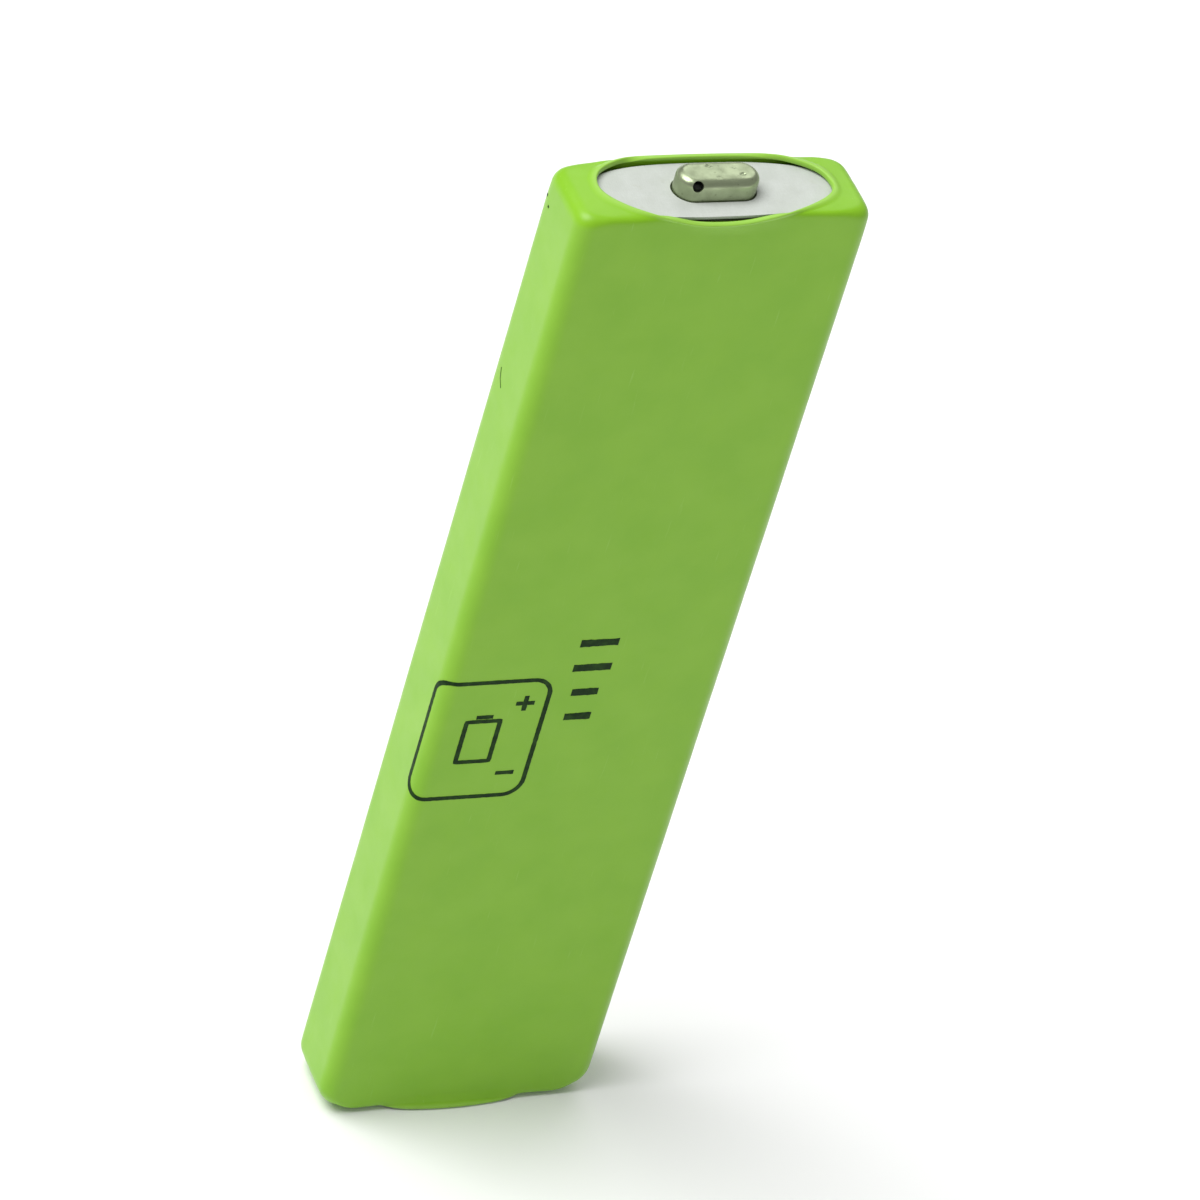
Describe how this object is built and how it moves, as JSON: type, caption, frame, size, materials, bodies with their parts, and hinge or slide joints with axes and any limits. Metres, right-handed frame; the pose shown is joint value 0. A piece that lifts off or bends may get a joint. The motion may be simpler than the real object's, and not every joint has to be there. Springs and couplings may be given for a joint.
{
  "type": "prismatic battery cell",
  "caption": "Flat rectangular rechargeable cell in a heat-shrink sleeve, with a small obround positive cap at one end.",
  "frame": {"origin": "centre of the bottom of the cell's bounding box, standing on its negative end", "axes": "+Z along the cell towards the positive cap, X across the 17 mm width, Y through the thickness; the vent hole that shows is on the -Y side"},
  "size_m": [0.017, 0.0058, 0.067],
  "materials": {
    "sleeve_pvc": "satin",
    "washer_fibre": "matt",
    "cap_nickel": "satin",
    "valve_rubber": "matt",
    "rivet_nickel": "satin",
    "seal_nylon": "matt",
    "lead_nickel": "satin",
    "insulator_plastic": "matt",
    "hydroxide_plate": "matt",
    "separator_fibre": "matt",
    "hydride_plate": "matt",
    "can_steel": "satin"
  },
  "bodies": {
    "cell": {"sleeve": "sleeve_pvc", "top_insulator_washer": "washer_fibre", "positive_terminal_cap": "cap_nickel", "terminal_rivet": "rivet_nickel", "outer_gasket": "seal_nylon", "lid_plate": "can_steel", "inner_gasket": "seal_nylon", "collector_plate": "lead_nickel", "positive_lead_1": "lead_nickel", "positive_lead_2": "lead_nickel", "positive_lead_3": "lead_nickel", "upper_insulator": "insulator_plastic", "lower_insulator": "insulator_plastic", "positive_plate_1": "hydroxide_plate", "positive_plate_2": "hydroxide_plate", "positive_plate_3": "hydroxide_plate", "separator_1": "separator_fibre", "separator_2": "separator_fibre", "separator_3": "separator_fibre", "negative_plate_1": "hydride_plate", "negative_plate_2": "hydride_plate", "negative_plate_3": "hydride_plate", "negative_plate_4": "hydride_plate", "can": "can_steel"},
    "valve": {"vent_valve": "valve_rubber"}
  },
  "joints": [
    {"name": "vent_lift", "type": "slide", "parent": "cell", "child": "valve", "axis": [0, 0, 1], "range_m": [0, 0.0002], "stiffness_N_per_m": 200}
  ]
}
